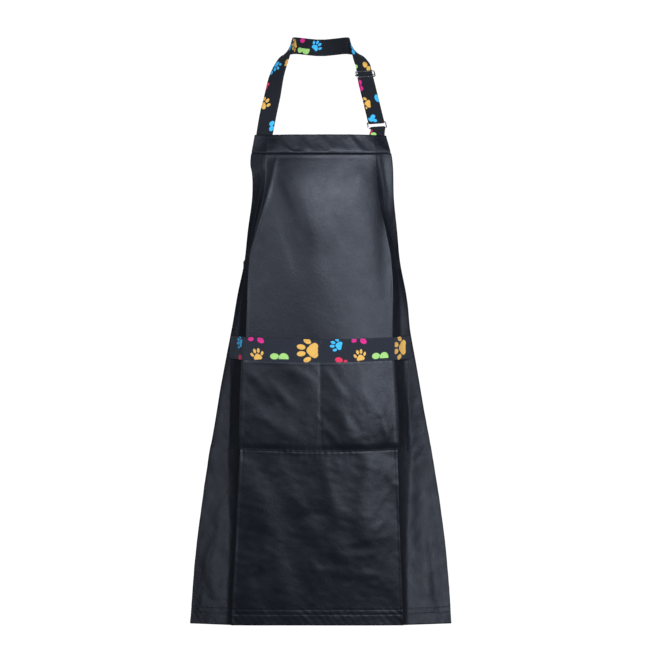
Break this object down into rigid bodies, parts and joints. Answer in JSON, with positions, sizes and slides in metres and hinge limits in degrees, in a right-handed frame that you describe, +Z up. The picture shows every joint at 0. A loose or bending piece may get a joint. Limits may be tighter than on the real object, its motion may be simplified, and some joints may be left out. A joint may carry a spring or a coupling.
{
  "type": "bib apron",
  "caption": "Long black coated-cloth bib apron with a printed neck strap adjusted by a ring and slider, a banded patch pocket divided in the middle, and waist ties tied in a bow behind.",
  "frame": {"origin": "inside of the neck strap at the middle of the nape, where the wearer's neck or a hanger holds it", "axes": "+Z up along the hanging apron, the front faces -Y, +X is the side with the ring and slider"},
  "size_m": [0.498, 0.2167, 1.1153],
  "materials": {
    "coated_cloth": "smooth black coated leatherette, satin",
    "cloth_back": "matte woven backing of the coated cloth",
    "printed_cotton": "black cotton with a scattered bright paw-shape print",
    "nickel": "bright nickel-plated wire",
    "thread": "black polyester sewing thread"
  },
  "bodies": {
    "root": {"apron_panel": "coated_cloth", "bib_top_facing": "coated_cloth", "bottom_hem": "coated_cloth", "pocket_panel": "coated_cloth", "armhole_hem_left": "cloth_back", "armhole_hem_right": "cloth_back", "side_hem_left": "cloth_back", "side_hem_right": "cloth_back", "pocket_band": "printed_cotton", "neck_strap": "printed_cotton", "strap_return_ply": "printed_cotton", "ring_tab": "printed_cotton", "waist_tie_left": "printed_cotton", "waist_tie_right": "printed_cotton", "waist_knot": "printed_cotton", "bow_loop_left": "printed_cotton", "bow_loop_right": "printed_cotton", "facing_stitch_row": "thread", "hem_stitch_row_upper": "thread", "hem_stitch_row_lower": "thread", "band_stitch_row": "thread", "pocket_centre_stitch_row": "thread", "pocket_tack_left": "thread", "pocket_tack_centre": "thread", "pocket_tack_right": "thread", "tie_tack_left": "thread", "tie_tack_right": "thread"},
    "slider": {"slider_frame": "nickel", "slider_centre_bar": "nickel", "strap_sewn_end": "printed_cotton"},
    "ring_link": {"ring": "nickel", "strap_ring_fold": "printed_cotton"},
    "tail_left": {"tie_tail_left": "printed_cotton"},
    "tail_right": {"tie_tail_right": "printed_cotton"}
  },
  "joints": [
    {"name": "slider_travel", "type": "slide", "parent": "root", "child": "slider", "axis": [-0.2216, 0.2474, 0.9432], "range_m": [-0.04, 0.012], "deforming": ["strap_return_ply"]},
    {"name": "ring_swivel", "type": "hinge", "parent": "root", "child": "ring_link", "pos_m": [0.10661, -0.11683, -0.16328], "axis": [-0.8942, -0.4375, -0.0954], "range_deg": [-15, 15]},
    {"name": "tail_left_swing", "type": "hinge", "parent": "root", "child": "tail_left", "pos_m": [-0.015, 0.019, -0.453], "axis": [0, 1, 0], "range_deg": [-20, 30]},
    {"name": "tail_right_swing", "type": "hinge", "parent": "root", "child": "tail_right", "pos_m": [0.015, 0.024, -0.453], "axis": [0, -1, 0], "range_deg": [-20, 30]}
  ]
}
